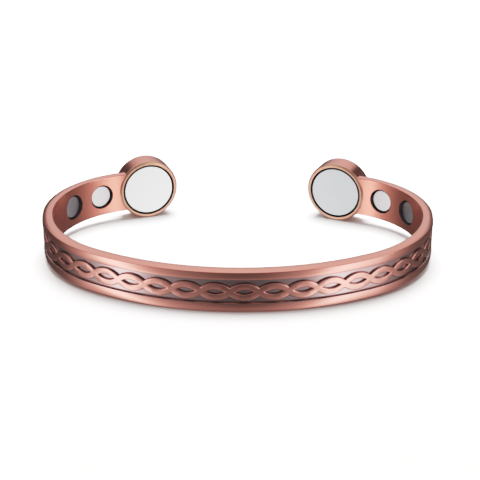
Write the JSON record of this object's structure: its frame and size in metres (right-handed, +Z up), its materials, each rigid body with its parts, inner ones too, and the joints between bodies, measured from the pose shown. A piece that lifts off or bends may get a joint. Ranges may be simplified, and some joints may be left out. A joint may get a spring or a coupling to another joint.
{
  "type": "magnetic cuff bracelet",
  "caption": "Open oval cuff of antique copper with a raised braid in a sunk channel, round magnet terminals at its ends and small magnets let into the wrist side.",
  "frame": {"origin": "centre of the footprint on the surface that the cuff rests on", "axes": "+X towards the wearer's side of the right terminal, along the long way of the oval, +Y from the braided front towards the gap, +Z up"},
  "size_m": [0.0606, 0.0428, 0.0101],
  "materials": {
    "antique_copper": "satin brushed copper with a dark patina in the recesses",
    "plated_magnet": "satin nickel plating"
  },
  "bodies": {
    "root": {"cuff": "antique_copper", "terminal_magnet_left": "plated_magnet", "terminal_magnet_right": "plated_magnet", "band_magnet_left_rear": "plated_magnet", "band_magnet_left_side": "plated_magnet", "band_magnet_right_rear": "plated_magnet", "band_magnet_right_side": "plated_magnet"}
  },
  "joints": []
}
